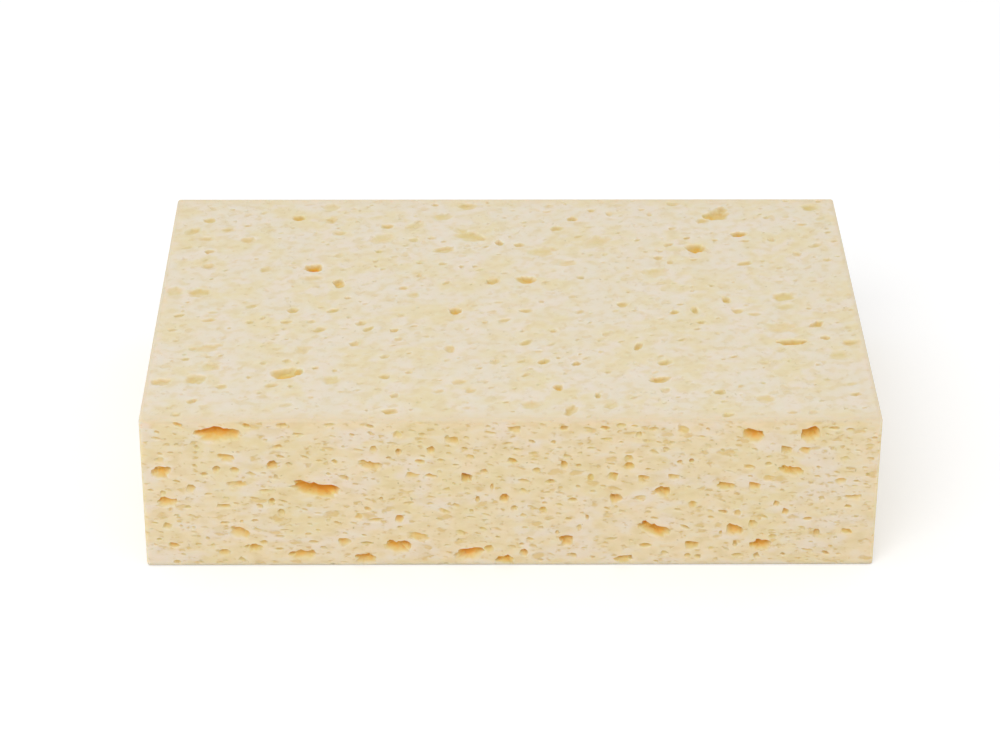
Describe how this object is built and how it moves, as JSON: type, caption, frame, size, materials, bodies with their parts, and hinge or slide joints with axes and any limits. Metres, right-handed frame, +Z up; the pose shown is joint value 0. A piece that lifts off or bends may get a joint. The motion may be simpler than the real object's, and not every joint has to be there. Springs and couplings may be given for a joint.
{
  "type": "viscose sponge",
  "caption": "Rectangular block of cream viscose foam with open pores on every face, for wiping and washing by hand.",
  "frame": {"origin": "middle of the flat underside", "axes": "+X along the block's length, +Y across its width towards the back, +Z up through its thickness"},
  "size_m": [0.15, 0.1, 0.035],
  "materials": {
    "viscose_foam": "matte"
  },
  "bodies": {
    "root": {"sponge": "viscose_foam"}
  },
  "joints": []
}
